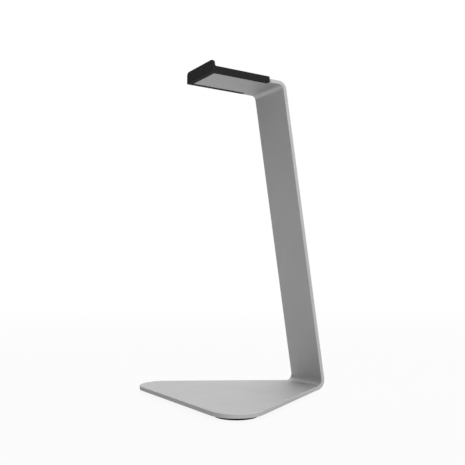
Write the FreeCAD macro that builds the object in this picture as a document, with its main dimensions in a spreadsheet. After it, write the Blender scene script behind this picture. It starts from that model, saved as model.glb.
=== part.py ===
"""Headphone stand: one bent aluminium plate, a silicone saddle cap and three stick-on feet.

Millimetres, +Z up.  The stand faces -Y and is symmetric about X = 0.  The origin is the middle of
the bounding box's bottom face, on the surface that the stand rests on.
"""
import FreeCAD, Part
import Sketcher
import math
import os

SIZES = {
    # the bent plate
    "overall_depth": 128.6,      # front edge of the base to the back of the lower bend
    "strip_width": 40.5,         # post and arm, side to side
    "plate_thickness": 3.0,
    "inner_height": 244.0,       # top of the base to the underside of the arm
    "post_lean": 9.0,            # degrees that the post leans forward
    "lower_bend": 5.0,           # inner radius between base and post
    "upper_bend": 4.0,           # inner radius between post and arm
    "base_width": 180.0,         # along the front edge, before its corners are rounded
    "corner_radius": 20.5,
    "edge_round": 0.3,           # takes the sharpness off the plate's rim
    # the silicone saddle cap on the arm's narrowed end
    "saddle_setback": 21.3,      # front edge of the base to the front of the cap, in plan
    "saddle_length": 53.5,
    "saddle_wall": 4.3,          # silicone beside and in front of the arm's tongue
    "saddle_cover": 2.0,         # top of the arm to the top of the cap, adhesive included
    "saddle_edge": 0.8,          # rounding of the cap's outer edges
    "lip_height": 9.6,           # above the arm's underside
    "lip_thickness": 2.8,
    "lip_corner": 3.0,           # rounding of the lip's top corners, seen from the front
    "lip_root": 1.2,             # hollow radius between the lip and the cap's top
    # the feet and the adhesive
    "foot_diameter": 30.6,
    "foot_spread": 109.0,        # between the centres of the two front feet
    "front_foot_setback": 20.5,  # front edge of the base to the front feet's centres
    "rear_foot_setback": 102.4,  # front edge of the base to the rear foot's centre
    "stand_off": 2.2,            # floor to plate: rubber and adhesive together
    "foot_edge": 0.3,
    "film_thickness": 0.2,
    "film_inset": 0.5,           # the adhesive stops this far inside what it holds
}

ARM_UNDERSIDE = "Sizes.stand_off + Sizes.plate_thickness + Sizes.inner_height"
START, END, CENTRE = 1, 2, 3
ORIGIN = (-1, 1)
VERTICAL_AXIS = -2

doc = FreeCAD.newDocument("HeadphoneStand")


def make_sheet():
    """One named cell for each driving dimension."""
    table = doc.addObject("Spreadsheet::Sheet", "Sizes")
    for row, (name, value) in enumerate(SIZES.items(), start=1):
        table.set(f"A{row}", name)
        table.set(f"B{row}", str(value))
        table.setAlias(f"B{row}", name)
    doc.recompute()
    return table


sheet = make_sheet()


def size(name):
    """A driving dimension, as its cell holds it."""
    return float(sheet.get(name))


# ------------------------------------------------------------------- short forms of FreeCAD's calls

def make_body(name):
    body = doc.addObject("PartDesign::Body", name)
    body.Label = name
    return body


def add_sketch(body, name, role, offset=None):
    """A sketch on one of the body's own origin planes, moved along its normal by an expression."""
    sketch = body.newObject("Sketcher::SketchObject", name)
    plane = next(item for item in body.Origin.OriginFeatures if item.Role == role)
    sketch.AttachmentSupport = [(plane, "")]
    sketch.MapMode = "FlatFace"
    if offset:
        sketch.setExpression("AttachmentOffset.Base.z", offset)
    return sketch


def point(x, y):
    return FreeCAD.Vector(x, y, 0)


def line(sketch, start, end):
    return sketch.addGeometry(Part.LineSegment(point(*start), point(*end)))


def arc(sketch, centre, radius, start_degrees, end_degrees):
    """A counter-clockwise arc."""
    circle = Part.Circle(point(*centre), FreeCAD.Vector(0, 0, 1), radius)
    span = math.radians(start_degrees), math.radians(end_degrees)
    return sketch.addGeometry(Part.ArcOfCircle(circle, *span))


def relate(sketch, kind, *elements):
    return sketch.addConstraint(Sketcher.Constraint(kind, *elements))


def bind(sketch, name, expression, kind, *elements):
    """A named dimension, whose last element is its starting value, tied to the sheet."""
    sketch.renameConstraint(relate(sketch, kind, *elements), name)
    sketch.setExpression("Constraints." + name, expression)


def add_pad(body, name, sketch, length, midplane=False):
    pad = body.newObject("PartDesign::Pad", name)
    pad.Profile = sketch
    pad.setExpression("Length", length)
    pad.Midplane = midplane
    doc.recompute()
    return pad


def add_pocket(body, name, sketch, length, reverse=False):
    """A pocket, which has to take material away."""
    before = body.Shape.Volume
    pocket = body.newObject("PartDesign::Pocket", name)
    pocket.Profile = sketch
    pocket.setExpression("Length", length)
    pocket.Reversed = reverse
    doc.recompute()
    if body.Shape.Volume > before - 1:
        raise RuntimeError(f"{name} cuts nothing")
    return pocket


def is_sharp(shape, edge):
    """True where the two faces beside an edge meet at an angle, not in a smooth run.  A round
    face's own seam, with one face beside it, isn't sharp."""
    middle = edge.valueAt((edge.FirstParameter + edge.LastParameter) / 2)
    normals = [face.normalAt(*face.Surface.parameter(middle))
               for face in shape.ancestorsOfType(edge, Part.Face)]
    return len(normals) == 2 and math.degrees(normals[0].getAngle(normals[1])) > 5


def add_fillet(body, name, radius, wanted):
    """Round each sharp edge of the body's present shape for which wanted(edge) is true."""
    base = body.Tip
    edges = [f"Edge{number}" for number, edge in enumerate(base.Shape.Edges, start=1)
             if is_sharp(base.Shape, edge) and wanted(edge)]
    fillet = body.newObject("PartDesign::Fillet", name)
    fillet.Base = (base, edges)
    fillet.setExpression("Radius", radius)
    doc.recompute()
    return fillet


# ---------------------------------------------------------------------------------- the bent plate

def side_profile(body):
    """Side view of the bent plate: base, lower bend, leaning post, upper bend and arm.

    Both bends have one centre for their inner and outer arcs, so the plate keeps its thickness.
    The base's leg stops at mid depth, inside the base's own outline.
    """
    thick, lean = size("plate_thickness"), size("post_lean")
    low, high = size("lower_bend"), size("upper_bend")
    floor = size("stand_off")
    deck = floor + thick
    under = deck + size("inner_height")
    tip = size("saddle_setback") + size("saddle_wall") - size("overall_depth") / 2
    along, across = math.cos(math.radians(lean)), math.sin(math.radians(lean))
    low_y = size("overall_depth") / 2 - low - thick
    low_z = deck + low
    high_z = under - high
    high_y = low_y + (low - high - (high_z - low_z) * across) / along

    def on_post(y, z, radius):
        """Where an arc of this radius about (y, z) runs into the post."""
        return y + radius * along, z + radius * across

    sketch = add_sketch(body, "SideProfile", "YZ_Plane")
    base_under = line(sketch, (0, floor), (low_y, floor))
    low_outer = arc(sketch, (low_y, low_z), low + thick, -90, lean)
    post_back = line(sketch, on_post(low_y, low_z, low + thick), on_post(high_y, high_z, high + thick))
    high_outer = arc(sketch, (high_y, high_z), high + thick, lean, 90)
    arm_top = line(sketch, (high_y, under + thick), (tip, under + thick))
    arm_end = line(sketch, (tip, under + thick), (tip, under))
    arm_under = line(sketch, (tip, under), (high_y, under))
    high_inner = arc(sketch, (high_y, high_z), high, lean, 90)
    post_front = line(sketch, on_post(low_y, low_z, low), on_post(high_y, high_z, high))
    low_inner = arc(sketch, (low_y, low_z), low, -90, lean)
    base_top = line(sketch, (low_y, deck), (0, deck))
    leg_end = line(sketch, (0, deck), (0, floor))

    for smooth in ((base_under, END, low_outer, START), (low_outer, END, post_back, START),
                   (post_back, END, high_outer, START), (high_outer, END, arm_top, START),
                   (arm_under, END, high_inner, END), (high_inner, START, post_front, END),
                   (post_front, START, low_inner, END), (low_inner, START, base_top, START)):
        relate(sketch, "Tangent", *smooth)
    for corner in ((arm_top, END, arm_end, START), (arm_end, END, arm_under, START),
                   (base_top, END, leg_end, START), (leg_end, END, base_under, START),
                   (low_outer, CENTRE, low_inner, CENTRE), (high_outer, CENTRE, high_inner, CENTRE)):
        relate(sketch, "Coincident", *corner)
    for flat in (base_under, base_top, arm_under, arm_top):
        relate(sketch, "Horizontal", flat)
    for upright in (arm_end, leg_end):
        relate(sketch, "Vertical", upright)
    relate(sketch, "PointOnObject", leg_end, START, VERTICAL_AXIS)

    bind(sketch, "thickness", "Sizes.plate_thickness",
         "DistanceY", leg_end, END, leg_end, START, thick)
    bind(sketch, "floor_gap", "Sizes.stand_off",
         "DistanceY", *ORIGIN, leg_end, END, floor)
    bind(sketch, "clear_height", "Sizes.inner_height",
         "DistanceY", leg_end, START, arm_end, END, size("inner_height"))
    bind(sketch, "arm_thickness", "Sizes.plate_thickness",
         "DistanceY", arm_end, END, arm_end, START, thick)
    bind(sketch, "lower_radius", "Sizes.lower_bend", "Radius", low_inner, low)
    bind(sketch, "upper_radius", "Sizes.upper_bend", "Radius", high_inner, high)
    bind(sketch, "lean", "(90 + Sizes.post_lean) * 1 deg",
         "Angle", post_front, math.radians(90 + lean))
    bind(sketch, "bend_place", "Sizes.overall_depth / 2 - Sizes.lower_bend - Sizes.plate_thickness",
         "DistanceX", *ORIGIN, low_outer, CENTRE, low_y)
    bind(sketch, "tip_place", "Sizes.overall_depth / 2 - Sizes.saddle_setback - Sizes.saddle_wall",
         "DistanceX", arm_end, END, *ORIGIN, -tip)
    return sketch


def base_plan(body):
    """Plan of the base: a straight front edge, two large round corners, and straight sides that
    close in to the strip's width where the lower bend starts."""
    radius = size("corner_radius")
    front = -size("overall_depth") / 2
    rear = size("overall_depth") / 2 - size("lower_bend") - size("plate_thickness")
    half_base, half_strip = size("base_width") / 2, size("strip_width") / 2
    flare = math.atan2(half_base - half_strip, rear - front)
    corner_x = half_base - radius / math.tan((math.pi / 2 - flare) / 2)
    corner_y = front + radius
    swing = 90 + math.degrees(flare)

    sketch = add_sketch(body, "BasePlan", "XY_Plane", "Sizes.stand_off")
    front_edge = line(sketch, (-corner_x, front), (corner_x, front))
    right_corner = arc(sketch, (corner_x, corner_y), radius, -90, swing - 90)
    left_corner = arc(sketch, (-corner_x, corner_y), radius, 270 - swing, 270)
    flank_x = corner_x + radius * math.cos(flare)
    flank_y = corner_y + radius * math.sin(flare)
    right_side = line(sketch, (flank_x, flank_y), (half_strip, rear))
    left_side = line(sketch, (-flank_x, flank_y), (-half_strip, rear))
    rear_edge = line(sketch, (half_strip, rear), (-half_strip, rear))

    relate(sketch, "Tangent", front_edge, END, right_corner, START)
    relate(sketch, "Tangent", front_edge, START, left_corner, END)
    relate(sketch, "Tangent", right_corner, END, right_side, START)
    relate(sketch, "Tangent", left_corner, START, left_side, START)
    relate(sketch, "Coincident", right_side, END, rear_edge, START)
    relate(sketch, "Coincident", left_side, END, rear_edge, END)
    relate(sketch, "Symmetric", rear_edge, START, rear_edge, END, VERTICAL_AXIS)
    relate(sketch, "Symmetric", front_edge, START, front_edge, END, VERTICAL_AXIS)
    relate(sketch, "Equal", right_corner, left_corner)
    bind(sketch, "corner", "Sizes.corner_radius", "Radius", right_corner, radius)
    bind(sketch, "strip", "Sizes.strip_width",
         "DistanceX", rear_edge, END, rear_edge, START, 2 * half_strip)
    bind(sketch, "front_place", "Sizes.overall_depth / 2",
         "DistanceY", front_edge, START, *ORIGIN, -front)
    bind(sketch, "rear_place", "Sizes.overall_depth / 2 - Sizes.lower_bend - Sizes.plate_thickness",
         "DistanceY", *ORIGIN, rear_edge, START, rear)
    # the sharp corner that the rounding replaces sets the width of the front edge
    sharp = sketch.addGeometry(Part.Point(point(half_base, front)), True)
    relate(sketch, "PointOnObject", sharp, START, front_edge)
    relate(sketch, "PointOnObject", sharp, START, right_side)
    bind(sketch, "width", "Sizes.base_width / 2", "DistanceX", *ORIGIN, sharp, START, half_base)
    return sketch


def bound_rectangle(sketch, name, x_span, y_span):
    """A rectangle; each side is a (starting value, expression) pair measured from the origin."""
    (x_low, x_high), (y_low, y_high) = x_span, y_span
    corners = [(x[0], y[0]) for x, y in ((x_low, y_low), (x_high, y_low), (x_high, y_high), (x_low, y_high))]
    bottom, right, top, left = (line(sketch, corners[i], corners[(i + 1) % 4]) for i in range(4))
    for first, second in ((bottom, right), (right, top), (top, left), (left, bottom)):
        relate(sketch, "Coincident", first, END, second, START)
    for flat, upright in ((bottom, right), (top, left)):
        relate(sketch, "Horizontal", flat)
        relate(sketch, "Vertical", upright)
    for side, kind, element, (value, expression) in (
            ("left", "DistanceX", left, x_low), ("right", "DistanceX", right, x_high),
            ("bottom", "DistanceY", bottom, y_low), ("top", "DistanceY", top, y_high)):
        if value > 0:
            bind(sketch, f"{name}_{side}", expression, kind, *ORIGIN, element, START, value)
        else:
            bind(sketch, f"{name}_{side}", f"-({expression})", kind, element, START, *ORIGIN, -value)


def saddle_span():
    """Front and rear of the saddle cap in plan, as (value, expression) pairs."""
    front = size("saddle_setback") - size("overall_depth") / 2
    front_text = "Sizes.saddle_setback - Sizes.overall_depth / 2"
    return (front, front_text), (front + size("saddle_length"), front_text + " + Sizes.saddle_length")


def tongue_half():
    """Half the width of the arm's tongue, which the cap's two side walls leave."""
    value = size("strip_width") / 2 - size("saddle_wall")
    return value, "Sizes.strip_width / 2 - Sizes.saddle_wall"


def tongue_notches(body):
    """Plan of the two notches that narrow the arm's end to a tongue for the saddle cap."""
    sketch = add_sketch(body, "TonguePlan", "XY_Plane", ARM_UNDERSIDE)
    (inner, inner_text), (front, rear) = tongue_half(), saddle_span()
    outer, outer_text = size("strip_width"), "Sizes.strip_width"
    bound_rectangle(sketch, "right", ((inner, inner_text), (outer, outer_text)), (front, rear))
    bound_rectangle(sketch, "left", ((-outer, f"-{outer_text}"), (-inner, f"-({inner_text})")), (front, rear))
    return sketch


def make_stand_plate():
    """Base, post and arm: one 3 mm aluminium plate, cut to its outline and bent twice."""
    body = make_body("stand_plate")
    add_pad(body, "BentStrip", side_profile(body), "Sizes.strip_width", midplane=True)
    add_pad(body, "BasePlate", base_plan(body), "Sizes.plate_thickness")
    add_pocket(body, "TongueNotches", tongue_notches(body), "Sizes.plate_thickness", reverse=True)
    thick = size("plate_thickness")
    rear_of_saddle = saddle_span()[1][0]
    arm_level = size("stand_off") + thick + size("inner_height")

    def on_rim(edge):
        """The edges round the plate's outline, but not those that cross its thickness, and not
        those of the tongue, which the saddle cap covers."""
        box = edge.BoundBox
        crosses = abs(edge.Length - thick) < 0.01
        on_tongue = box.ZMin > arm_level - 1 and box.YMax < rear_of_saddle + 0.01
        return not crosses and not on_tongue

    add_fillet(body, "RimRounding", "Sizes.edge_round", on_rim)
    return body


# ---------------------------------------------------------------------------------- the saddle cap

def saddle_profile(body):
    """Side view of the cap: a flat cover with a lip standing up at its front."""
    front, rear = (pair[0] for pair in saddle_span())
    under = size("stand_off") + size("plate_thickness") + size("inner_height")
    cover = under + size("plate_thickness") + size("saddle_cover")
    crest = under + size("lip_height")
    lip_back = front + size("lip_thickness")
    root = size("lip_root")

    sketch = add_sketch(body, "SaddleProfile", "YZ_Plane")
    bottom = line(sketch, (rear, under), (front, under))
    face = line(sketch, (front, under), (front, crest))
    lip_top = line(sketch, (front, crest), (lip_back, crest))
    behind_lip = line(sketch, (lip_back, crest), (lip_back, cover + root))
    hollow = arc(sketch, (lip_back + root, cover + root), root, 180, 270)
    cover_top = line(sketch, (lip_back + root, cover), (rear, cover))
    rear_end = line(sketch, (rear, cover), (rear, under))

    for corner in ((bottom, END, face, START), (face, END, lip_top, START),
                   (lip_top, END, behind_lip, START), (cover_top, END, rear_end, START),
                   (rear_end, END, bottom, START)):
        relate(sketch, "Coincident", *corner)
    relate(sketch, "Tangent", behind_lip, END, hollow, START)
    relate(sketch, "Tangent", hollow, END, cover_top, START)
    for flat in (bottom, lip_top, cover_top):
        relate(sketch, "Horizontal", flat)
    for upright in (face, behind_lip, rear_end):
        relate(sketch, "Vertical", upright)

    bind(sketch, "level", ARM_UNDERSIDE, "DistanceY", *ORIGIN, bottom, START, under)
    bind(sketch, "front_place", "Sizes.overall_depth / 2 - Sizes.saddle_setback",
         "DistanceX", bottom, END, *ORIGIN, -front)
    bind(sketch, "length", "Sizes.saddle_length",
         "DistanceX", bottom, END, bottom, START, rear - front)
    bind(sketch, "cover", "Sizes.plate_thickness + Sizes.saddle_cover",
         "DistanceY", rear_end, END, rear_end, START, cover - under)
    bind(sketch, "lip_height", "Sizes.lip_height", "DistanceY", face, START, face, END, crest - under)
    bind(sketch, "lip_thickness", "Sizes.lip_thickness",
         "DistanceX", lip_top, START, lip_top, END, lip_back - front)
    bind(sketch, "lip_root", "Sizes.lip_root", "Radius", hollow, root)
    return sketch


def make_saddle_cap():
    """Moulded silicone: a cover on the arm's tongue, walls flush with the strip's sides, and a lip
    that keeps a headband from sliding off the front.  Its cavity fits the tongue."""
    body = make_body("saddle_cap")
    add_pad(body, "CoverAndLip", saddle_profile(body), "Sizes.strip_width", midplane=True)
    under = size("stand_off") + size("plate_thickness") + size("inner_height")
    front, rear = (pair[0] for pair in saddle_span())

    def lip_top_corner(edge):
        box = edge.BoundBox
        return box.ZMin > under + size("lip_height") - 0.01 and box.XLength < 0.01

    def outer_edge(edge):
        """Every edge but those of the underside and the two upright ones at the rear, which close
        on the arm's shoulders."""
        box = edge.BoundBox
        at_underside = box.ZMax < under + 0.01
        rear_upright = box.YMin > rear - 0.01 and box.ZMin < under + 0.01
        return not at_underside and not rear_upright

    add_fillet(body, "LipCorners", "Sizes.lip_corner", lip_top_corner)
    add_fillet(body, "OuterEdges", "Sizes.saddle_edge", outer_edge)

    cavity = add_sketch(body, "CavityPlan", "XY_Plane", ARM_UNDERSIDE)
    (half, half_text), (_, (rear, rear_text)) = tongue_half(), saddle_span()
    tip = (front + size("saddle_wall"),
           "Sizes.saddle_setback + Sizes.saddle_wall - Sizes.overall_depth / 2")
    bound_rectangle(cavity, "cavity", ((-half, f"-({half_text})"), (half, half_text)),
                    (tip, (rear, rear_text)))
    add_pocket(body, "TongueCavity", cavity, "Sizes.plate_thickness + Sizes.film_thickness", reverse=True)
    return body


def make_saddle_film():
    """Double-sided adhesive between the tongue's top and the cap."""
    film = doc.addObject("Part::Box", "saddle_adhesive")
    film.Label = "saddle_adhesive"
    width = "Sizes.strip_width - 2 * Sizes.saddle_wall - 2 * Sizes.film_inset"
    length = "Sizes.saddle_length - Sizes.saddle_wall - 2 * Sizes.film_inset"
    film.setExpression("Length", width)
    film.setExpression("Width", length)
    film.setExpression("Height", "Sizes.film_thickness")
    film.setExpression("Placement.Base.x", f"-({width}) / 2")
    film.setExpression("Placement.Base.y", "Sizes.saddle_setback + Sizes.saddle_wall + Sizes.film_inset"
                       " - Sizes.overall_depth / 2")
    film.setExpression("Placement.Base.z", ARM_UNDERSIDE + " + Sizes.plate_thickness")
    return film


# --------------------------------------------------------------------------- the feet and their film

FEET = {
    "front_left": ("-Sizes.foot_spread / 2", "Sizes.front_foot_setback"),
    "front_right": ("Sizes.foot_spread / 2", "Sizes.front_foot_setback"),
    "rear": ("0", "Sizes.rear_foot_setback"),
}


def make_foot(place, x_text, setback):
    """A rubber disc with a rounded lower edge, on the floor."""
    body = make_body(place + "_foot")
    sketch = add_sketch(body, "FootPlan", "XY_Plane")
    rim = sketch.addGeometry(Part.Circle(point(0, 0), FreeCAD.Vector(0, 0, 1), size("foot_diameter") / 2))
    relate(sketch, "Coincident", rim, CENTRE, *ORIGIN)
    bind(sketch, "diameter", "Sizes.foot_diameter", "Diameter", rim, size("foot_diameter"))
    add_pad(body, "Disc", sketch, "Sizes.stand_off - Sizes.film_thickness")
    add_fillet(body, "LowerEdge", "Sizes.foot_edge", lambda edge: edge.BoundBox.ZMax < 0.01)
    body.setExpression("Placement.Base.x", x_text)
    body.setExpression("Placement.Base.y", f"{setback} - Sizes.overall_depth / 2")
    return body


def make_foot_film(place, x_text, setback):
    """The disc of adhesive that holds a foot to the plate."""
    film = doc.addObject("Part::Cylinder", place + "_foot_adhesive")
    film.Label = place + "_foot_adhesive"
    film.setExpression("Radius", "Sizes.foot_diameter / 2 - Sizes.film_inset")
    film.setExpression("Height", "Sizes.film_thickness")
    film.setExpression("Placement.Base.x", x_text)
    film.setExpression("Placement.Base.y", f"{setback} - Sizes.overall_depth / 2")
    film.setExpression("Placement.Base.z", "Sizes.stand_off - Sizes.film_thickness")
    return film


# ------------------------------------------------------------------------------------ build and write

def check_document(nodes):
    """Stop if any object failed to compute or any sub-part has no valid single solid."""
    for item in doc.Objects:
        if {"Invalid", "Error"} & set(item.State):
            raise RuntimeError(f"{item.Name} did not compute: {item.State}")
        if item.isDerivedFrom("Sketcher::SketchObject") and not item.FullyConstrained:
            raise RuntimeError(f"{item.Name} is not fully constrained")
    for node in nodes:
        if node.Shape.isNull() or not node.Shape.isValid() or len(node.Shape.Solids) != 1:
            raise RuntimeError(f"{node.Label} is not one valid solid")


def main():
    nodes = [make_stand_plate(), make_saddle_cap(), make_saddle_film()]
    for place, position in FEET.items():
        nodes.append(make_foot(place, *position))
        nodes.append(make_foot_film(place, *position))
    doc.recompute()
    check_document(nodes)
    os.makedirs("parts", exist_ok=True)
    for node in nodes:
        node.Shape.exportStep(f"parts/{node.Label}.step")
        box = node.Shape.optimalBoundingBox(False)
        print(f"{node.Label}: {node.Shape.Volume:.0f} mm3, x {box.XMin:.2f} {box.XMax:.2f},"
              f" y {box.YMin:.2f} {box.YMax:.2f}, z {box.ZMin:.2f} {box.ZMax:.2f}")


main()
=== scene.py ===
"""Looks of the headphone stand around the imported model, in metres and in the model's own frame.

The bent plate, the silicone saddle cap and the rubber feet are built here as clean meshes on the
places of their CAD solids.  The thin adhesive films stay the CAD nodes, with their own material.
"""
import math

import bmesh
import bpy
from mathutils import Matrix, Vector


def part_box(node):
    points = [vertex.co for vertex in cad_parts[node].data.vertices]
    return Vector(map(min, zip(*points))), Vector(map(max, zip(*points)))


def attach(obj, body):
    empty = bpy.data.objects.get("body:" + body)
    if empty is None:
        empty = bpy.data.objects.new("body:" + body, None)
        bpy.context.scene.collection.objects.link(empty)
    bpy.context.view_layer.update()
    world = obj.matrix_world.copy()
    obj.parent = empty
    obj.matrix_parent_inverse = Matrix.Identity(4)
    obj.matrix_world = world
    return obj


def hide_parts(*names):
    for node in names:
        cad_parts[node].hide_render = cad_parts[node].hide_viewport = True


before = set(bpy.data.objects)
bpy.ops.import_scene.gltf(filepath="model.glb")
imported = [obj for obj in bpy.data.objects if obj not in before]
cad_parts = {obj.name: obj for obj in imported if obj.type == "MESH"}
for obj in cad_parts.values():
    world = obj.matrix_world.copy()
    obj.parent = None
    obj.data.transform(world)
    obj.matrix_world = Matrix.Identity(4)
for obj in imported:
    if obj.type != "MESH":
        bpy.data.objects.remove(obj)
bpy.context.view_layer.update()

MM = 0.001

# places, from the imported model
PLATE_LOW, PLATE_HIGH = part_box("stand_plate")
CAP_LOW, CAP_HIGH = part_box("saddle_cap")
FEET = ("front_left_foot", "front_right_foot", "rear_foot")

# sizes of the bent plate that its box doesn't give
THICK = 3.0 * MM
LEAN = math.radians(9.0)          # the post leans forward
LOWER_BEND = 5.0 * MM             # inner radii of the two bends
UPPER_BEND = 4.0 * MM
BASE_HALF = 90.0 * MM             # half the front edge, before its corners are rounded
CORNER = 20.5 * MM
WAIST = 8.0 * MM                  # hollow radius where the base closes in to the strip
RIM = 0.3 * MM                    # rounding all round the plate's rim
STRIP_HALF = CAP_HIGH.x
CAP_WALL = 4.3 * MM               # silicone beside and in front of the arm's tongue
TONGUE_HALF = STRIP_HALF - CAP_WALL
SAME_POINT = 0.001 * MM           # vertices closer together than this are one
SLIVER = 0.000001 * MM            # room for rounding errors


# ------------------------------------------------------------------------------- mesh building tools

def new_piece(name, mesh, material):
    """A smooth-shaded object that rides on the stand's one body."""
    mesh.polygons.foreach_set("use_smooth", [True] * len(mesh.polygons))
    mesh.materials.append(material)
    piece = bpy.data.objects.new(name, mesh)
    bpy.context.scene.collection.objects.link(piece)
    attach(piece, "root")
    return piece


def mesh_from(name, vertices, faces):
    mesh = bpy.data.meshes.new(name)
    mesh.from_pydata([tuple(vertex) for vertex in vertices], [], faces)
    return mesh


def keep_flats_flat(piece):
    """Large faces keep their own normal, so that roundings shade crisply beside them."""
    weighted = piece.modifiers.new("flat_faces", "WEIGHTED_NORMAL")
    weighted.mode = "FACE_AREA"
    weighted.weight = 100
    weighted.keep_sharp = True


def inset_corner(before, point, after, distance):
    """The point moved inward, to the left of the path, so that both its sides move by distance."""
    first = (point - before).normalized()
    second = (after - point).normalized()
    normals = [Vector((-side.y, side.x)) for side in (first, second)]
    bisector = normals[0] + normals[1]
    return point + bisector * (distance / (1 + normals[0].dot(normals[1])))


def inset_loop(points, distance):
    count = len(points)
    return [inset_corner(points[i - 1], points[i], points[(i + 1) % count], distance)
            for i in range(count)]


def arc_points(centre, radius, start, end, steps):
    """Points on an arc from one angle to another, both included."""
    angles = spread(start, end, steps)
    return [centre + radius * Vector((math.cos(a), math.sin(a))) for a in angles]


def spread(start, end, steps):
    """Evenly spaced values from start to end, both included."""
    return [start + (end - start) * i / steps for i in range(steps + 1)]


# ---------------------------------------------------------------------------------- the bent plate

CORNER_STEP = 3                   # degrees between rows of vertices in the base's front corners
CORNER_TURN = 120                 # degrees, more than such a corner turns through
WAIST_ROWS = 6
HALF_COLUMNS = 5                  # columns of faces on each side of the middle of the tongue
RIM_STEPS = 5                     # steps in each rounding of the rim
ROW_GAP = 0.004 * MM              # rows of vertices closer together than this are one


class BentPath:
    """The plate's middle surface seen from the side: straight runs and bends, by length along it."""

    def __init__(self, y, z):
        self.runs = []
        self.place, self.heading, self.length = Vector((y, z)), 0.0, 0.0

    def straight(self, length):
        self.runs.append((self.length, self.place.copy(), self.heading, None))
        self.place += length * Vector((math.cos(self.heading), math.sin(self.heading)))
        self.length += length

    def bend(self, radius, angle):
        self.runs.append((self.length, self.place.copy(), self.heading, radius))
        self.place += self.chord(radius, self.heading, self.heading + angle)
        self.heading += angle
        self.length += radius * angle

    @staticmethod
    def chord(radius, start, end):
        """The step from one heading to another along a bend."""
        return radius * Vector((math.sin(end) - math.sin(start), math.cos(start) - math.cos(end)))

    def at(self, distance, height):
        """Side-view point at a distance along the plate, raised off its middle surface."""
        start, place, heading, radius = next(
            run for run in reversed(self.runs) if distance >= run[0] - SLIVER or run is self.runs[0])
        gone = distance - start
        if radius is None:
            place = place + gone * Vector((math.cos(heading), math.sin(heading)))
        else:
            turned = heading + gone / radius
            place = place + self.chord(radius, heading, turned)
            heading = turned
        return place + height * Vector((-math.sin(heading), math.cos(heading)))


def plate_path():
    """Base, lower bend, post, upper bend and arm, with the length at which each one ends."""
    low_radius, high_radius = LOWER_BEND + THICK / 2, UPPER_BEND + THICK / 2
    low_angle, high_angle = math.pi / 2 + LEAN, math.pi / 2 - LEAN
    arm_level = PLATE_HIGH.z - THICK / 2
    path = BentPath(PLATE_LOW.y, PLATE_LOW.z + THICK / 2)
    path.straight(PLATE_HIGH.y - THICK - LOWER_BEND - PLATE_LOW.y)
    ends = [path.length]
    path.bend(low_radius, low_angle)
    ends.append(path.length)
    rise = arm_level - path.place.y - high_radius * (1 + math.cos(path.heading))
    path.straight(rise / math.sin(path.heading))
    ends.append(path.length)
    path.bend(high_radius, high_angle)
    ends.append(path.length)
    path.straight(path.place.x - (CAP_LOW.y + CAP_WALL))
    ends.append(path.length)
    return path, ends


def plate_half_width(base_end):
    """Half the flat plate's width at a distance along it: round front corner, straight flank, hollow
    waist, then the strip.  With it come the distances of the rows in the corner and in the waist."""
    flare = math.atan2(BASE_HALF - STRIP_HALF, base_end)
    corner_x = BASE_HALF - CORNER / math.tan((math.pi / 2 - flare) / 2)
    corner_end = CORNER * (1 + math.sin(flare))
    tangent = WAIST * math.tan(flare / 2)
    waist_start, waist_end = base_end - tangent * math.cos(flare), base_end + tangent

    def half_width(distance):
        if distance <= corner_end:
            return corner_x + math.sqrt(max(CORNER ** 2 - (distance - CORNER) ** 2, 0))
        if distance <= waist_start:
            return STRIP_HALF + (base_end - distance) * math.tan(flare)
        if distance < waist_end:
            return STRIP_HALF + WAIST - math.sqrt(WAIST ** 2 - (waist_end - distance) ** 2)
        return STRIP_HALF

    turned = [math.radians(angle) for angle in range(0, CORNER_TURN, CORNER_STEP)]
    corner_rows = [CORNER - CORNER * math.cos(angle) for angle in turned]
    corner_rows = [row for row in corner_rows if row < corner_end] + [corner_end]
    return half_width, corner_rows, spread(waist_start, waist_end, WAIST_ROWS)


def plate_stations(ends, corner_rows, waist_rows, shoulder):
    """Every distance along the plate at which the mesh has a row of vertices."""
    base_end, low_end, post_end, high_end, tip = ends
    rows = corner_rows + waist_rows
    runs = ((corner_rows[-1], base_end, 10), (base_end, low_end, 22), (low_end, post_end, 16),
            (post_end, high_end, 18), (high_end, shoulder, 3), (shoulder, tip, 6))
    for start, end, steps in runs:
        rows += spread(start, end, steps)
    rows.sort()
    kept = [rows[0]]
    for row in rows[1:]:
        if row - kept[-1] > ROW_GAP:
            kept.append(row)
    return kept


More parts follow.
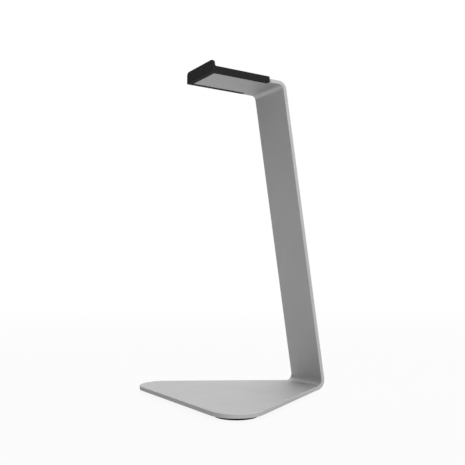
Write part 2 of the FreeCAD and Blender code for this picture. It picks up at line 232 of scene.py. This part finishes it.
class PlateGrid:
    """The flat plate as a grid: rows at distances along it, columns as shares of its half width.  The
    outermost columns end at the shoulder, and the ones beside them run on into the tongue."""

    def __init__(self, ends):
        shoulder = ends[-1] - (CAP_HIGH.y - CAP_LOW.y - CAP_WALL)
        self.half_width, corner_rows, waist_rows = plate_half_width(ends[0])
        self.rows = plate_stations(ends, corner_rows, waist_rows, shoulder)
        self.last_row = len(self.rows) - 1
        self.shoulder_row = min(range(len(self.rows)), key=lambda i: abs(self.rows[i] - shoulder))
        self.rows[self.shoulder_row] = shoulder

        self.tongue_share = (TONGUE_HALF - RIM) / (STRIP_HALF - RIM)
        tongue = [self.tongue_share * (1 - i / HALF_COLUMNS) for i in range(2 * HALF_COLUMNS + 1)]
        self.columns = [1.0] + tongue + [-1.0]
        self.right, self.left = 0, len(self.columns) - 1

        self.loop = self.boundary()
        self.outline = [self.outline_point(*place) for place in self.loop]
        self.inset = inset_loop(self.outline, RIM)
        self.inset_at = dict(zip(self.loop, self.inset))

    def boundary(self):
        """The places round the grid, counter-clockwise seen from the inner side."""
        right, left, shoulder, last = self.right, self.left, self.shoulder_row, self.last_row
        loop = [(row, right) for row in range(shoulder + 1)]
        loop += [(row, right + 1) for row in range(shoulder, last + 1)]
        loop += [(last, column) for column in range(right + 2, left - 1)]
        loop += [(row, left - 1) for row in range(last, shoulder - 1, -1)]
        loop += [(row, left) for row in range(shoulder, -1, -1)]
        loop += [(0, column) for column in range(left - 1, right, -1)]
        return loop

    def outline_point(self, row, column):
        """Where a place on the boundary lies, in (across, along), at full size."""
        share, along = self.columns[column], self.rows[row]
        side = 1 if share > 0 else -1
        if column in (self.right, self.left):
            return Vector((side * self.half_width(along), along))
        if column in (self.right + 1, self.left - 1) and row >= self.shoulder_row:
            return Vector((side * TONGUE_HALF, along))
        if row == 0:
            return Vector((share * self.half_width(0), along))
        return Vector((share / self.tongue_share * (TONGUE_HALF - RIM), along))

    def face_point(self, row, column):
        """Where a place on the plate's flat face lies, inside the rim's rounding."""
        if (row, column) in self.inset_at:
            return self.inset_at[row, column]
        if row <= self.shoulder_row:
            edge, share = self.inset_at[row, self.right], self.columns[column]
        else:
            edge, share = self.inset_at[row, self.right + 1], self.columns[column] / self.tongue_share
        return Vector((edge.x * share, edge.y))

    def cells(self):
        """The four corners of each cell, row by row."""
        for row in range(self.last_row):
            on_strip = row + 1 <= self.shoulder_row
            first, last = (self.right, self.left) if on_strip else (self.right + 1, self.left - 1)
            for column in range(first, last):
                yield (row, column), (row, column + 1), (row + 1, column + 1), (row + 1, column)


def make_plate(material):
    """One plate with a rounded rim.  Its flat pattern is laid out in (across, along) and each
    vertex is then bent into place."""
    path, ends = plate_path()
    grid = PlateGrid(ends)
    vertices, faces, index = [], [], {}
    last_ring = 2 * RIM_STEPS + 1

    def add(key, flat, height):
        if key not in index:
            index[key] = len(vertices)
            side = path.at(flat.y, height)
            vertices.append((flat.x, side.x, side.y))
        return index[key]

    def rim_ring(number):
        """Ring 0 is the inner face's boundary, and the last ring is the outer face's."""
        upper = number <= RIM_STEPS
        turn = (number if upper else last_ring - number) / RIM_STEPS * math.pi / 2
        height = (THICK / 2 - RIM * (1 - math.cos(turn))) * (1 if upper else -1)
        ring = []
        for i, place in enumerate(grid.loop):
            if number in (0, last_ring):
                ring.append(index[("top" if upper else "bottom", *place)])
            else:
                flat = grid.outline[i].lerp(grid.inset[i], 1 - math.sin(turn))
                ring.append(add(("rim", number, i), flat, height))
        return ring

    for cell in grid.cells():
        top = [add(("top", *place), grid.face_point(*place), THICK / 2) for place in cell]
        bottom = [add(("bottom", *place), grid.face_point(*place), -THICK / 2) for place in cell]
        faces += [top[::-1], bottom]
    rings = [rim_ring(number) for number in range(last_ring + 1)]
    for upper, lower in zip(rings, rings[1:]):
        for i in range(len(upper)):
            j = (i + 1) % len(upper)
            faces.append((upper[j], upper[i], lower[i], lower[j]))

    plate = new_piece("bent_plate", mesh_from("bent_plate", vertices, faces), material)
    mark_rim(plate, rings)
    keep_flats_flat(plate)
    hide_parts("stand_plate")


def mark_rim(plate, rings):
    """An attribute for the metal's painted rim highlight and worn spots: 0 where a rounding meets a face,
    and 1 halfway round it.
    """
    rim = plate.data.attributes.new("rim", "FLOAT", "POINT")
    for number, ring in enumerate(rings):
        middling = math.sin(math.pi * (number % (RIM_STEPS + 1)) / RIM_STEPS)
        for vertex in ring:
            rim.data[vertex].value = middling


# ---------------------------------------------------------------------------------- the saddle cap

COVER = 2.0 * MM                  # top of the arm to the top of the cap
FILM = 0.2 * MM                   # adhesive between the arm and the cap
LIP_THICK = 2.8 * MM
LIP_ROOT = 1.2 * MM               # hollow radius between the lip and the cap's top
LIP_CORNER = 3.0 * MM             # seen from the front
CAP_EDGE = 0.8 * MM               # rounding of the cap's upper and front edges
REAR_EDGE = 0.5 * MM
MOUTH_EDGE = 0.25 * MM            # rounding of the underside's edges and of the cavity's mouth


class HalfMesh:
    """Faces on the +X side, given by their corner points, which are then mirrored to the other
    side.  Equal points are one vertex, and chosen edges are rounded."""

    def __init__(self, largest_round):
        self.shape = bmesh.new()
        self.weight = self.shape.edges.layers.float.new("bevel_weight_edge")
        self.largest_round = largest_round
        self.placed = {}

    def vertex(self, point):
        key = tuple(round(value / SAME_POINT) for value in point)
        if key not in self.placed:
            self.placed[key] = self.shape.verts.new(point)
        return self.placed[key]

    def face(self, *points):
        self.shape.faces.new(dict.fromkeys(self.vertex(point) for point in points))

    def soften(self, radius, *points):
        """Round the edges along a path of points."""
        path = [self.vertex(point) for point in points]
        for first, second in zip(path, path[1:]):
            if first is not second:
                self.shape.edges.get((first, second))[self.weight] = radius / self.largest_round

    def finish(self, name, material, segments):
        shape = self.shape
        everything = shape.verts[:] + shape.edges[:] + shape.faces[:]
        bmesh.ops.mirror(shape, geom=everything, axis="X", merge_dist=SAME_POINT)
        bmesh.ops.recalc_face_normals(shape, faces=shape.faces)
        mesh = bpy.data.meshes.new(name)
        shape.to_mesh(mesh)
        shape.free()
        piece = new_piece(name, mesh, material)
        bevel = piece.modifiers.new("rounded_edges", "BEVEL")
        bevel.limit_method = "WEIGHT"
        bevel.width, bevel.segments = self.largest_round, segments
        keep_flats_flat(piece)
        return piece


def middle(point):
    """The point's place on the plane of symmetry."""
    return Vector((0, point.y, point.z))


def make_cap(material):
    """Moulded silicone: a cover with a lip at its front.  The arm's tongue sits in a cavity that is
    open below and behind."""
    front, rear = CAP_LOW.y, CAP_HIGH.y
    under, cover, crest = CAP_LOW.z, PLATE_HIGH.z + COVER, CAP_HIGH.z
    ceiling, tip, lip_back = PLATE_HIGH.z + FILM, front + CAP_WALL, front + LIP_THICK

    # the outlines of the lip's two faces on the +X side, and the hollow behind the lip
    corner_centre = Vector((STRIP_HALF - LIP_CORNER, crest - LIP_CORNER))
    corner = arc_points(corner_centre, LIP_CORNER, 0, math.pi / 2, 10)
    hollow_centre = Vector((lip_back + LIP_ROOT, cover + LIP_ROOT))
    hollow = arc_points(hollow_centre, LIP_ROOT, -math.pi / 2, -math.pi, 8)
    front_low = Vector((STRIP_HALF, front, under))
    front_edge = [Vector((p.x, front, p.y)) for p in corner]
    front_edge.append(middle(front_edge[-1]))
    back_edge = [Vector((p.x, lip_back, p.y)) for p in corner]
    back_edge.append(middle(back_edge[-1]))
    root = [Vector((STRIP_HALF, p.x, p.y)) for p in hollow]
    rear_top, rear_low = Vector((STRIP_HALF, rear, cover)), Vector((STRIP_HALF, rear, under))
    mouth_low, mouth_top = Vector((TONGUE_HALF, rear, under)), Vector((TONGUE_HALF, rear, ceiling))
    inner_low, inner_top = Vector((TONGUE_HALF, tip, under)), Vector((TONGUE_HALF, tip, ceiling))

    half = HalfMesh(CAP_EDGE)
    half.face(middle(front_low), front_low, *front_edge)
    half.face(middle(root[-1]), root[-1], *back_edge)
    for i in range(len(front_edge) - 1):
        half.face(front_edge[i], front_edge[i + 1], back_edge[i + 1], back_edge[i])
    for first, second in zip(root, root[1:]):
        half.face(first, second, middle(second), middle(first))
    half.face(root[0], rear_top, middle(rear_top), middle(root[0]))
    half.face(front_low, rear_low, rear_top, *root, back_edge[0], front_edge[0])
    half.face(rear_low, rear_top, middle(rear_top), middle(mouth_top), mouth_top, mouth_low)
    half.face(front_low, rear_low, mouth_low, inner_low, middle(inner_low), middle(front_low))
    half.face(inner_low, inner_top, mouth_top, mouth_low)
    half.face(inner_low, inner_top, middle(inner_top), middle(inner_low))
    half.face(inner_top, mouth_top, middle(mouth_top), middle(inner_top))

    half.soften(CAP_EDGE, front_low, *front_edge)
    half.soften(CAP_EDGE, rear_top, *root, *back_edge)
    half.soften(REAR_EDGE, rear_low, rear_top, middle(rear_top))
    half.soften(MOUTH_EDGE, middle(front_low), front_low, rear_low)
    half.soften(MOUTH_EDGE, rear_low, mouth_low, inner_low, middle(inner_low))
    half.soften(MOUTH_EDGE, mouth_low, mouth_top, middle(mouth_top))

    cap = half.finish("silicone_cap", material, segments=5)
    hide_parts("saddle_cap")


# ------------------------------------------------------------------------------------------ the feet

FOOT_EDGE = 0.3 * MM              # rounding of a foot's lower edge
FOOT_DRAFT = 0.1 * MM             # how much narrower it is at the plate
FOOT_SEGMENTS = 96
SOLE_RINGS = (0.3, 0.62, 0.8)     # rings of vertices in the sole, as shares of the radius
TOP_RING = 0.5


def make_foot(node, material):
    """A rubber disc: flat sole, rounded lower edge, a slightly drafted side."""
    low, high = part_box(node)
    centre = (low + high) / 2
    radius = (high.x - low.x) / 2
    profile = [Vector((radius * share, low.z)) for share in SOLE_RINGS]
    edge_centre = Vector((radius - FOOT_EDGE, low.z + FOOT_EDGE))
    profile += arc_points(edge_centre, FOOT_EDGE, -math.pi / 2, 0, 6)
    profile += [Vector((radius - FOOT_DRAFT, high.z)), Vector((radius * TOP_RING, high.z))]

    directions = [2 * math.pi * i / FOOT_SEGMENTS for i in range(FOOT_SEGMENTS)]
    vertices = [(centre.x + point.x * math.cos(angle), centre.y + point.x * math.sin(angle), point.y)
                for point in profile for angle in directions]
    faces = []
    for ring in range(len(profile) - 1):
        a, b = ring * FOOT_SEGMENTS, (ring + 1) * FOOT_SEGMENTS
        for i in range(FOOT_SEGMENTS):
            j = (i + 1) % FOOT_SEGMENTS
            faces.append((a + i, a + j, b + j, b + i))
    faces.append(list(range(FOOT_SEGMENTS))[::-1])
    faces.append([(len(profile) - 1) * FOOT_SEGMENTS + i for i in range(FOOT_SEGMENTS)])
    foot = new_piece("rubber_" + node, mesh_from("rubber_" + node, vertices, faces), material)
    keep_flats_flat(foot)
    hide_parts(node)


# ----------------------------------------------------------------------------------------- materials

WHITE = (1, 1, 1, 1)
NOISE_LOW, NOISE_HIGH = 0.3, 0.7  # where nearly all of a noise texture's values lie
EDGE_SAMPLES = 8


def math_node(tree, operation, first, second):
    """The result of a math node whose two inputs are sockets or numbers."""
    node = tree.nodes.new("ShaderNodeMath")
    node.operation = operation
    for socket, value in zip(node.inputs, (first, second)):
        if isinstance(value, bpy.types.NodeSocket):
            tree.links.new(value, socket)
        else:
            socket.default_value = value
    return node.outputs["Value"]


def vector_math_node(tree, operation, *vectors):
    """A vector math node whose first inputs are linked to the given sockets."""
    node = tree.nodes.new("ShaderNodeVectorMath")
    node.operation = operation
    for socket, vector in zip(node.inputs, vectors):
        tree.links.new(vector, socket)
    return node


def map_range(tree, source, from_range, to_range, kind="LINEAR"):
    """Stretch the first range of a value onto the second."""
    node = tree.nodes.new("ShaderNodeMapRange")
    node.interpolation_type = kind
    for name, value in zip(("From Min", "From Max", "To Min", "To Max"), (*from_range, *to_range)):
        node.inputs[name].default_value = value
    tree.links.new(source, node.inputs["Value"])
    return node.outputs["Result"]


def mix_shaders(tree, factor, first, second):
    node = tree.nodes.new("ShaderNodeMixShader")
    for socket, source in zip(node.inputs, (factor, first, second)):
        tree.links.new(source, socket)
    return node.outputs["Shader"]


class Material:
    """A material with short forms for the nodes that the finishes below share."""

    def __init__(self, name, metallic=0.0, specular=0.5):
        self.made = bpy.data.materials.new(name)
        self.made.use_nodes = True
        self.tree = self.made.node_tree
        self.shader = self.tree.nodes["Principled BSDF"]
        self.shader.inputs["Metallic"].default_value = metallic
        self.shader.inputs["Specular IOR Level"].default_value = specular

    def noise(self, grain, detail=2.0):
        """Noise in the object's own space, from 0 to 1, with grains about this many metres wide."""
        where = self.tree.nodes.new("ShaderNodeTexCoord")
        noise = self.tree.nodes.new("ShaderNodeTexNoise")
        noise.inputs["Scale"].default_value = 1 / grain
        noise.inputs["Detail"].default_value = detail
        self.tree.links.new(where.outputs["Object"], noise.inputs["Vector"])
        return noise.outputs["Fac"]

    def attribute(self, name):
        node = self.tree.nodes.new("ShaderNodeAttribute")
        node.attribute_name = name
        return node.outputs["Fac"]

    def math(self, operation, first, second):
        return math_node(self.tree, operation, first, second)

    def scaled(self, source, low, high, from_low=NOISE_LOW, from_high=NOISE_HIGH):
        """Stretch a noise's usual range, or another one, to low to high."""
        return map_range(self.tree, source, (from_low, from_high), (low, high))

    def colour_between(self, factor, first, second):
        """The base colour, mixed from two by a factor."""
        ramp = self.tree.nodes.new("ShaderNodeValToRGB")
        for element, colour in zip(ramp.color_ramp.elements, (first, second)):
            element.color = (*colour, 1)
        self.tree.links.new(factor, ramp.inputs["Fac"])
        self.tree.links.new(ramp.outputs["Color"], self.shader.inputs["Base Color"])

    def roughness_from(self, source):
        self.tree.links.new(source, self.shader.inputs["Roughness"])

    def relief(self, height, depth):
        """Fine relief of this depth in metres."""
        bump = self.tree.nodes.new("ShaderNodeBump")
        bump.inputs["Distance"].default_value = depth
        self.tree.links.new(height, bump.inputs["Height"])
        self.tree.links.new(bump.outputs["Normal"], self.shader.inputs["Normal"])

    def edges(self, reach):
        """From 0 on flat faces to 1 on convex and concave edges, within a reach in metres."""
        spread_out = self.tree.nodes.new("ShaderNodeBevel")
        spread_out.samples = EDGE_SAMPLES
        spread_out.inputs["Radius"].default_value = reach
        here = self.tree.nodes.new("ShaderNodeNewGeometry")
        normals = (spread_out.outputs["Normal"], here.outputs["Normal"])
        agree = vector_math_node(self.tree, "DOT_PRODUCT", *normals)
        return self.scaled(agree.outputs["Value"], 1.0, 0.0, 0.80, 0.99)


def anodised_aluminium():
    """Bead-blasted and clear anodised: an even satin grey with a fine grain, faintly cloudy, polished
    a little by handling, with a painted highlight along the rim and tiny worn spots on it."""
    finish = Material("anodised_aluminium", metallic=1.0)
    finish.shader.inputs["Specular Tint"].default_value = (0.6, 0.6, 0.6, 1)
    rim = finish.attribute("rim")
    grain = finish.noise(0.18 * MM, detail=3.0)
    cloud = finish.noise(45 * MM, detail=3.0)
    spots = finish.scaled(finish.noise(1.6 * MM, detail=4.0), 0.0, 1.0, 0.52, 0.66)
    worn = finish.math("MULTIPLY", rim, spots)

    tone = finish.math("ADD", finish.scaled(cloud, 0.03, 0.12), finish.scaled(grain, 0.0, 0.48))
    # painted highlight: the rim's roundings are made lighter in colour, standing in for the light they
    # catch
    tone = finish.math("ADD", tone, finish.math("MULTIPLY", rim, 0.20))
    tone = finish.math("ADD", tone, finish.math("MULTIPLY", worn, 0.30))
    finish.colour_between(tone, (0.445, 0.445, 0.448), (0.62, 0.62, 0.622))

    handled = finish.scaled(finish.noise(22 * MM, detail=6.0), 0.64, 0.60, 0.42, 0.68)
    rough = finish.math("ADD", handled, finish.scaled(grain, -0.05, 0.05))
    rough = finish.math("SUBTRACT", rough, finish.math("MULTIPLY", worn, 0.12))
    finish.roughness_from(finish.math("SUBTRACT", rough, finish.math("MULTIPLY", rim, 0.05)))
    finish.relief(grain, 0.04 * MM)
    return finish.made


def silicone():
    """Matte black moulded silicone: a fine spark-eroded texture, a trace of dust, and edges that
    handling has turned a little greyer."""
    finish = Material("silicone", specular=0.15)
    texture = finish.noise(0.3 * MM, detail=3.0)
    dust = finish.scaled(finish.noise(9 * MM, detail=6.0), 0.0, 1.0, 0.46, 0.72)
    patches = finish.scaled(finish.noise(2.5 * MM, detail=4.0), 0.35, 1.0)
    rubbed = finish.math("MULTIPLY", finish.edges(0.7 * MM), patches)

    tone = finish.math("MULTIPLY", dust, finish.scaled(texture, 0.05, 0.35))
    tone = finish.math("ADD", tone, finish.scaled(texture, 0.0, 0.22))
    tone = finish.math("ADD", tone, finish.math("MULTIPLY", rubbed, 0.40))
    finish.colour_between(tone, (0.011, 0.011, 0.0115), (0.034, 0.034, 0.0335))

    dusty = finish.math("MULTIPLY", dust, 0.08)
    finish.roughness_from(finish.math("ADD", dusty, finish.scaled(texture, 0.72, 0.86)))
    finish.relief(texture, 0.14 * MM)
    return finish.made


def foot_rubber():
    """Black rubber sheet, punched out: an open grain, greyer where it has rubbed."""
    finish = Material("foot_rubber", specular=0.12)
    grain = finish.noise(0.5 * MM, detail=4.0)
    rubbed = finish.scaled(finish.noise(6 * MM, detail=5.0), 0.0, 0.6, 0.45, 0.75)
    tone = finish.math("ADD", rubbed, finish.scaled(grain, 0.0, 0.4))
    finish.colour_between(tone, (0.006, 0.006, 0.006), (0.018, 0.018, 0.0175))
    finish.roughness_from(finish.scaled(grain, 0.78, 0.94))
    finish.relief(grain, 0.08 * MM)
    return finish.made


def adhesive():
    """Milky acrylic film, with small trapped bubbles."""
    finish = Material("adhesive")
    bubbles = finish.noise(0.8 * MM, detail=1.0)
    tone = finish.scaled(bubbles, 0.0, 1.0, 0.5, 0.7)
    finish.colour_between(tone, (0.50, 0.50, 0.46), (0.62, 0.62, 0.58))
    finish.roughness_from(finish.scaled(bubbles, 0.28, 0.42))
    finish.relief(bubbles, 0.01 * MM)
    return finish.made


# ------------------------------------------------------------------------- floor, lights and camera

FLOOR_REACH = 8.0
FLOOR_ALBEDO, FLOOR_GLOW = 0.3, 0.4
FLOOR_LIFT = 0.85                          # how far the camera alone sees the floor as plain white
FADE_FROM, FADE_TO = 0.25, 1.6             # distances over which the floor fades into the backdrop
DARK_SIDE = Vector((-0.6, -0.8, 0.0))      # the tent is dark this way, to the stand's front left
DARK_FROM, DARK_TO = 0.1, 0.95             # how closely a direction has to point that way
WORLD_LOW, WORLD_HIGH = 0.1, 1.0
CEILING = 1.6                              # how much brighter the light from above is
CEILING_FROM, CEILING_TO = 0.0, 0.5        # upward share of a direction over which it brightens

LENS, SENSOR = 50.0, 36.0                  # in the millimetres that Blender's camera uses
CAMERA_PLACE = (0.43191, -0.28659, 0.0966)
CAMERA_RISE, CAMERA_TURN = 3.67, 57.56     # degrees that it looks upward, and turns from facing +Y


def white_emission(tree, kind):
    """A plain white glow, from an Emission or a Background node."""
    node = tree.nodes.new(kind)
    node.inputs["Color"].default_value = WHITE
    return node.outputs[0]


def camera_sees(tree):
    """1 for what the camera sees directly, and 0 for light that reaches a surface."""
    return tree.nodes.new("ShaderNodeLightPath").outputs["Is Camera Ray"]


def floor_material():
    material = bpy.data.materials.new("floor")
    material.use_nodes = True
    tree = material.node_tree
    shader = tree.nodes["Principled BSDF"]
    shader.inputs["Base Color"].default_value = (FLOOR_ALBEDO, FLOOR_ALBEDO, FLOOR_ALBEDO, 1)
    shader.inputs["Roughness"].default_value = 0.9
    shader.inputs["Specular IOR Level"].default_value = 0.1
    shader.inputs["Emission Color"].default_value = WHITE
    shader.inputs["Emission Strength"].default_value = FLOOR_GLOW

    where = tree.nodes.new("ShaderNodeTexCoord").outputs["Object"]
    distance = vector_math_node(tree, "LENGTH", where).outputs["Value"]
    fade = map_range(tree, distance, (FADE_FROM, FADE_TO), (FLOOR_LIFT, 1.0), "SMOOTHSTEP")
    lifted = math_node(tree, "MULTIPLY", fade, camera_sees(tree))
    white = white_emission(tree, "ShaderNodeEmission")
    above = mix_shaders(tree, lifted, shader.outputs["BSDF"], white)

    from_below = tree.nodes.new("ShaderNodeNewGeometry").outputs["Backfacing"]
    clear = tree.nodes.new("ShaderNodeBsdfTransparent").outputs["BSDF"]
    surface = mix_shaders(tree, from_below, above, clear)
    tree.links.new(surface, tree.nodes["Material Output"].inputs["Surface"])
    return material


def make_floor():
    """A pale surface that fades into the white backdrop with distance, as a swept studio table
    does.  From below it can be seen through."""
    signs = [(-1, -1), (1, -1), (1, 1), (-1, 1)]
    corners = [(FLOOR_REACH * x, FLOOR_REACH * y, 0) for x, y in signs]
    mesh = mesh_from("floor", corners, [(0, 1, 2, 3)])
    mesh.materials.append(floor_material())
    floor = bpy.data.objects.new("floor", mesh)
    bpy.context.scene.collection.objects.link(floor)


def make_lights():
    """Soft studio light, with no lamp in it: a white tent that is dark towards the front left, which
    gives the post its deeper tone, and brighter above.  The camera itself sees plain white."""
    world = bpy.data.worlds.new("studio")
    world.use_nodes = True
    tree = world.node_tree
    direction = tree.nodes.new("ShaderNodeTexCoord").outputs["Generated"]
    towards = vector_math_node(tree, "DOT_PRODUCT", direction)
    towards.inputs[1].default_value = DARK_SIDE
    level = map_range(tree, towards.outputs["Value"], (DARK_FROM, DARK_TO), (WORLD_HIGH, WORLD_LOW),
                      "SMOOTHSTEP")
    split = tree.nodes.new("ShaderNodeSeparateXYZ")
    tree.links.new(direction, split.inputs["Vector"])
    ceiling = map_range(tree, split.outputs["Z"], (CEILING_FROM, CEILING_TO), (1.0, CEILING), "SMOOTHSTEP")

    light = tree.nodes["Background"]
    light.inputs["Color"].default_value = WHITE
    tree.links.new(math_node(tree, "MULTIPLY", level, ceiling), light.inputs["Strength"])
    backdrop = white_emission(tree, "ShaderNodeBackground")
    surface = mix_shaders(tree, camera_sees(tree), light.outputs["Background"], backdrop)
    tree.links.new(surface, tree.nodes["World Output"].inputs["Surface"])
    bpy.context.scene.world = world


def make_camera():
    data = bpy.data.cameras.new("camera")
    data.lens, data.sensor_width = LENS, SENSOR
    data.clip_start, data.clip_end = 0.01, 50.0
    camera = bpy.data.objects.new("camera", data)
    camera.location = CAMERA_PLACE
    camera.rotation_euler = (math.radians(90 + CAMERA_RISE), 0, math.radians(CAMERA_TURN))
    bpy.context.scene.collection.objects.link(camera)
    bpy.context.scene.camera = camera


make_camera()
make_lights()
make_floor()
bpy.context.scene.view_settings.view_transform = "Standard"

metal, rubber, sole, tape = anodised_aluminium(), silicone(), foot_rubber(), adhesive()
make_plate(metal)
make_cap(rubber)
for foot_node in FEET:
    make_foot(foot_node, sole)
for film_node in [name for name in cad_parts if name.endswith("adhesive")]:
    film_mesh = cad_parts[film_node].data
    film_mesh.materials.clear()
    film_mesh.materials.append(tape)
